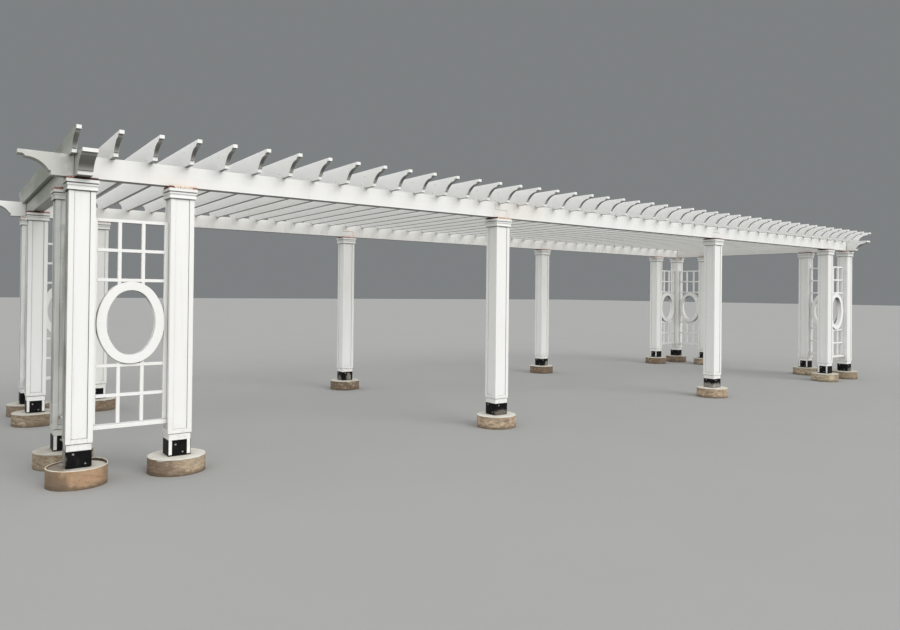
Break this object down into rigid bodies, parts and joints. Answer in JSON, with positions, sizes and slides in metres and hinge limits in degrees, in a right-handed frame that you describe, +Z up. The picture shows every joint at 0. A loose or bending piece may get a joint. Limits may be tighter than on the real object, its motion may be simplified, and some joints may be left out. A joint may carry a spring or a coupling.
{
  "type": "garden pergola",
  "caption": "Long open garden pergola of boxed white posts on round concrete piers, with scroll-cut beams and rafters and trellis corner panels with oval rings.",
  "frame": {"origin": "on the ground under the middle of the plan", "axes": "+X along the long front row, +Y from the front row to the back row, +Z up"},
  "size_m": [14.462, 4.932, 2.899],
  "materials": {
    "white_paint": "satin white paint over timber",
    "concrete": "trowelled concrete",
    "form_card": "weathered form tube",
    "black_steel": "satin black",
    "shim_wood": "bare reddish timber"
  },
  "bodies": {
    "root": {"beam_back_left": "white_paint", "beam_back_middle": "white_paint", "beam_back_right": "white_paint", "beam_front_left": "white_paint", "beam_front_middle": "white_paint", "beam_front_right": "white_paint", "beam_left_side": "white_paint", "beam_right_side": "white_paint", "cap_shims": "shim_wood", "concrete_piers": "concrete", "form_tubes": "form_card", "post_back_1": "white_paint", "post_back_2": "white_paint", "post_back_3": "white_paint", "post_back_4": "white_paint", "post_back_5": "white_paint", "post_back_6": "white_paint", "post_caps": "white_paint", "post_front_1": "white_paint", "post_front_2": "white_paint", "post_front_3": "white_paint", "post_front_4": "white_paint", "post_front_5": "white_paint", "post_front_6": "white_paint", "post_left_back": "white_paint", "post_left_front": "white_paint", "post_right_back": "white_paint", "post_right_front": "white_paint", "rafters_left_bay": "white_paint", "rafters_left_corner": "white_paint", "rafters_middle_bay": "white_paint", "rafters_right_bay": "white_paint", "rafters_right_corner": "white_paint", "steel_boots": "black_steel", "steel_leg_bases": "black_steel", "trellis_back_left": "white_paint", "trellis_back_right": "white_paint", "trellis_front_left": "white_paint", "trellis_front_right": "white_paint", "trellis_left_back": "white_paint", "trellis_left_front": "white_paint", "trellis_right_back": "white_paint", "trellis_right_front": "white_paint"}
  },
  "joints": []
}
